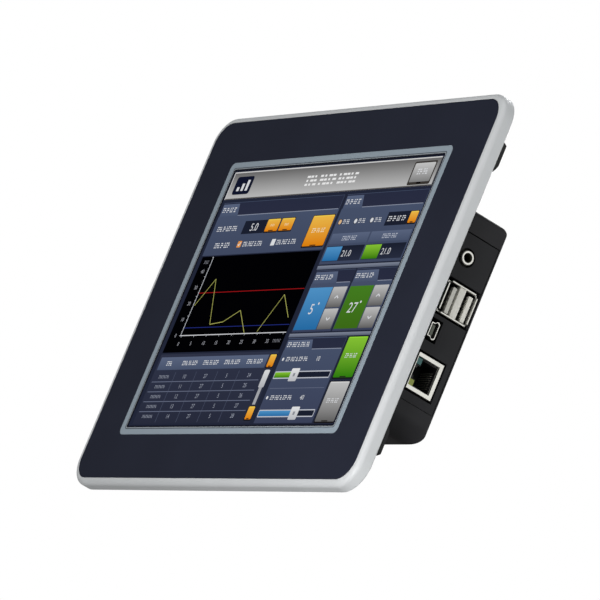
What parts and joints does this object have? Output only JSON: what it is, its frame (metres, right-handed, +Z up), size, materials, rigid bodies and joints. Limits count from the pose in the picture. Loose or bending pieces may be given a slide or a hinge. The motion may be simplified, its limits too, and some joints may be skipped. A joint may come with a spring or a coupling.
{
  "type": "hmi touch panel",
  "caption": "Panel-mount operator touch display: framed flat front with a landscape screen, shallow black rear box, side ports and swing-out clamps.",
  "frame": {"origin": "centre of the panel cut-out, in the plane where the bezel's rear face meets the panel", "axes": "+X right seen from the front, +Y backwards through the panel, +Z up"},
  "size_m": [0.2346, 0.0341, 0.185],
  "materials": {
    "bezel": "light silver-grey powder paint, satin",
    "overlay": "dark navy printed polyester film, satin",
    "touch": "clear touch glass",
    "seal": "black sealing foam and gasket",
    "lcd_metal": "bright sheet steel",
    "lcd_panel": "display cell, lit picture",
    "light_guide": "milky acrylic",
    "lcd_tray": "white moulded tray",
    "chassis": "zinc-plated sheet steel",
    "board": "green solder mask on glass-epoxy board",
    "chip": "black epoxy package",
    "heatsink": "black anodised aluminium fins",
    "inductor": "grey ferrite",
    "capacitor": "aluminium can",
    "cell": "steel coin cell",
    "cover": "black moulded plastic, fine texture",
    "port_plate": "black satin plastic plate",
    "connector_metal": "nickel-plated connector shells",
    "connector_pale": "cream connector plastic",
    "connector_black": "black connector plastic",
    "terminal": "green terminal block plastic",
    "lamp": "clear coloured lamp windows",
    "screw": "zinc-plated steel screws",
    "black_screw": "black-oxide steel screws",
    "clamp": "black glass-filled nylon",
    "plate": "silver-grey polyester plate, blank",
    "button": "light grey key caps",
    "ribbon": "amber polyimide ribbon",
    "card": "dark blue card"
  },
  "bodies": {
    "housing": {"front_bezel": "bezel", "front_overlay": "overlay", "touch_glass": "touch", "dust_seal": "seal", "panel_gasket": "seal", "lcd_front_frame": "lcd_metal", "lcd_cell": "lcd_panel", "lcd_light_guide": "light_guide", "lcd_rear_tray": "lcd_tray", "chassis_plate": "chassis", "hex_standoffs": "screw", "main_board": "board", "board_chips": "chip", "heatsink": "heatsink", "power_inductors": "inductor", "capacitors": "capacitor", "battery_holder": "connector_black", "coin_cell": "cell", "buzzer": "connector_black", "audio_jack_body": "connector_black", "audio_jack_ring": "connector_metal", "usb_shell": "connector_metal", "usb_insulator": "connector_pale", "mini_usb_shell": "connector_metal", "mini_usb_tongue": "connector_black", "rj45_shell": "connector_metal", "rj45_insert": "connector_black", "rj45_lamps": "lamp", "power_header": "terminal", "reset_switch": "connector_black", "mode_switch": "connector_black", "card_socket": "connector_metal", "serial_shells": "connector_metal", "serial_inserts": "connector_black", "jack_nuts": "screw", "touch_ribbon": "ribbon", "display_ribbon": "ribbon", "base_shell": "cover", "rear_cover": "cover", "port_plate": "port_plate", "rating_plate": "plate", "pan_head_screws": "screw", "cover_screws": "black_screw", "flange_screws": "black_screw", "clamp_pivots": "black_screw"},
    "clamp_1": {"clamp_tab_1": "clamp"},
    "clamp_2": {"clamp_tab_2": "clamp"},
    "clamp_3": {"clamp_tab_3": "clamp"},
    "clamp_4": {"clamp_tab_4": "clamp"},
    "plug": {"terminal_plug": "terminal"},
    "screw_1": {"terminal_screw_1": "screw"},
    "cage_1": {"terminal_cage_1": "connector_metal"},
    "screw_2": {"terminal_screw_2": "screw"},
    "cage_2": {"terminal_cage_2": "connector_metal"},
    "screw_3": {"terminal_screw_3": "screw"},
    "cage_3": {"terminal_cage_3": "connector_metal"},
    "reset_key": {"reset_cap": "button"},
    "mode_1": {"mode_slider_1": "button"},
    "mode_2": {"mode_slider_2": "button"},
    "card": {"memory_card": "card"}
  },
  "joints": [
    {"name": "clamp_1_swing", "type": "hinge", "parent": "housing", "child": "clamp_1", "pos_m": [0.1084, 0.0033, 0.068], "axis": [0, -1, 0], "range_deg": [0, 90]},
    {"name": "clamp_2_swing", "type": "hinge", "parent": "housing", "child": "clamp_2", "pos_m": [-0.1084, 0.0033, 0.068], "axis": [0, 1, 0], "range_deg": [0, 90]},
    {"name": "clamp_3_swing", "type": "hinge", "parent": "housing", "child": "clamp_3", "pos_m": [0.1084, 0.0033, -0.068], "axis": [0, 1, 0], "range_deg": [0, 90]},
    {"name": "clamp_4_swing", "type": "hinge", "parent": "housing", "child": "clamp_4", "pos_m": [-0.1084, 0.0033, -0.068], "axis": [0, -1, 0], "range_deg": [0, 90]},
    {"name": "plug_slide", "type": "slide", "parent": "housing", "child": "plug", "axis": [0, 0, -1], "range_m": [0, 0.016]},
    {"name": "screw_1_turn", "type": "hinge", "parent": "plug", "child": "screw_1", "pos_m": [-0.06308, 0.017, -0.0534], "axis": [0, 1, 0], "range_deg": [0, 1440]},
    {"name": "cage_1_slide", "type": "slide", "parent": "plug", "child": "cage_1", "axis": [0, -1, 0], "range_m": [0, 0.002]},
    {"name": "screw_2_turn", "type": "hinge", "parent": "plug", "child": "screw_2", "pos_m": [-0.058, 0.017, -0.0534], "axis": [0, 1, 0], "range_deg": [0, 1440]},
    {"name": "cage_2_slide", "type": "slide", "parent": "plug", "child": "cage_2", "axis": [0, -1, 0], "range_m": [0, 0.002]},
    {"name": "screw_3_turn", "type": "hinge", "parent": "plug", "child": "screw_3", "pos_m": [-0.05292, 0.017, -0.0534], "axis": [0, 1, 0], "range_deg": [0, 1440]},
    {"name": "cage_3_slide", "type": "slide", "parent": "plug", "child": "cage_3", "axis": [0, -1, 0], "range_m": [0, 0.002]},
    {"name": "reset_press", "type": "slide", "parent": "housing", "child": "reset_key", "axis": [0, 0, 1], "range_m": [0, 0.0005], "stiffness_N_per_m": 2000, "springref_m": -0.0002},
    {"name": "mode_1_slide", "type": "slide", "parent": "housing", "child": "mode_1", "axis": [0, 1, 0], "range_m": [0, 0.0012]},
    {"name": "mode_2_slide", "type": "slide", "parent": "housing", "child": "mode_2", "axis": [0, 1, 0], "range_m": [0, 0.0012]},
    {"name": "card_slide", "type": "slide", "parent": "housing", "child": "card", "axis": [0, 0, -1], "range_m": [0, 0.034]}
  ],
  "couplings": [
    {"joint": "screw_1_turn", "follows": "cage_1_slide", "rad_per_m": 12566},
    {"joint": "screw_2_turn", "follows": "cage_2_slide", "rad_per_m": 12566},
    {"joint": "screw_3_turn", "follows": "cage_3_slide", "rad_per_m": 12566}
  ]
}
